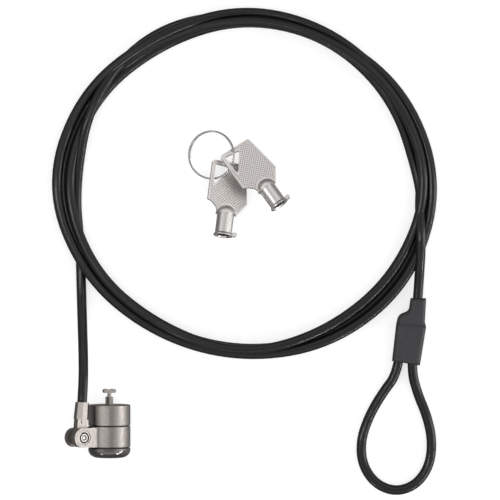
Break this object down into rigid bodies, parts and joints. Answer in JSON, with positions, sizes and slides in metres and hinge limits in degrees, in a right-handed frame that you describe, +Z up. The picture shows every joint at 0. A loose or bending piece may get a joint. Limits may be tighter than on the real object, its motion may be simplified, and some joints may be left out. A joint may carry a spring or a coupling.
{
  "type": "laptop cable lock",
  "caption": "Cylinder-head laptop lock with swivel collar and T-bar, coiled black security cable with anchor loop, and two tubular keys on a split ring.",
  "frame": {"origin": "centre of the lock head's flat front face, on the lock's axis, where it seats against the device", "axes": "+Y along the lock's axis, out of the T-bar; +Z up from the table the set lies on, which is 9.5 mm below the origin; +X across the table towards the coil"},
  "size_m": [0.1753, 0.2202, 0.0254],
  "materials": {
    "satin_steel": "satin nickel-plated",
    "dark_nickel": "polished dark nickel",
    "bright_steel": "turned, bright",
    "brass_pins": "turned",
    "black_sheath": "glossy vinyl over steel rope",
    "cover_plastic": "soft matte boot",
    "key_nickel": "satin nickel with dotted panel",
    "key_chrome": "polished",
    "spring_steel": "bright wire",
    "washer_plastic": "moulded"
  },
  "bodies": {
    "cable": {"cable_terminal": "satin_steel", "cable_lead": "black_sheath", "cable_coil": "black_sheath", "cable_tail": "black_sheath", "cable_loop": "black_sheath", "crimp_ferrule": "bright_steel", "ferrule_cover": "cover_plastic"},
    "collar": {"swivel_collar": "satin_steel", "pivot_pin": "bright_steel"},
    "lock_body": {"front_housing": "satin_steel", "abutment_pins": "satin_steel", "inner_barrel": "bright_steel", "front_washer": "washer_plastic", "rear_washer": "washer_plastic", "end_cap": "dark_nickel", "pin_bushing": "brass_pins"},
    "rotor_unit": {"rotor": "bright_steel", "keyway_post": "bright_steel", "tbar_spindle": "satin_steel"},
    "key_pin_set": {"key_pins": "brass_pins"},
    "driver_pin_set": {"driver_pins": "bright_steel", "pin_springs": "spring_steel"},
    "split_ring": {"key_ring": "spring_steel"},
    "key_a": {"key_a_bow": "key_nickel", "key_a_barrel": "key_chrome"},
    "key_b": {"key_b_bow": "key_nickel", "key_b_barrel": "key_chrome"}
  },
  "joints": [
    {"name": "cable_pivot", "type": "hinge", "parent": "cable", "child": "collar", "pos_m": [-0.01294, -0.0144, 0.00941], "axis": [0.5878, 0, 0.809], "range_deg": [-180, 4]},
    {"name": "body_swivel", "type": "hinge", "parent": "collar", "child": "lock_body", "pos_m": [0, -0.0144, 0], "axis": [0, 1, 0], "continuous": true},
    {"name": "key_turn", "type": "hinge", "parent": "lock_body", "child": "rotor_unit", "pos_m": [0, -0.012, 0], "axis": [0, 1, 0], "range_deg": [0, 90]},
    {"name": "key_pin_slide", "type": "slide", "parent": "rotor_unit", "child": "key_pin_set", "axis": [0, 1, 0], "range_m": [-0.001, 0]},
    {"name": "driver_pin_slide", "type": "slide", "parent": "lock_body", "child": "driver_pin_set", "axis": [0, 1, 0], "range_m": [-0.001, 0], "deforming": ["pin_springs"]},
    {"name": "ring_lift", "type": "slide", "parent": "cable", "child": "split_ring", "axis": [0, 0, 1], "range_m": [0, 0.06]},
    {"name": "key_a_slide", "type": "hinge", "parent": "split_ring", "child": "key_a", "pos_m": [0.046, 0.1124, -0.00517], "axis": [-0.3425, 0, 0.9395], "range_deg": [-25, 0]},
    {"name": "key_b_slide", "type": "hinge", "parent": "split_ring", "child": "key_b", "pos_m": [0.046, 0.1124, -0.00517], "axis": [-0.3425, 0, 0.9395], "range_deg": [0, 25]}
  ],
  "couplings": [
    {"joint": "driver_pin_slide", "follows": "key_pin_slide", "ratio": 1}
  ]
}
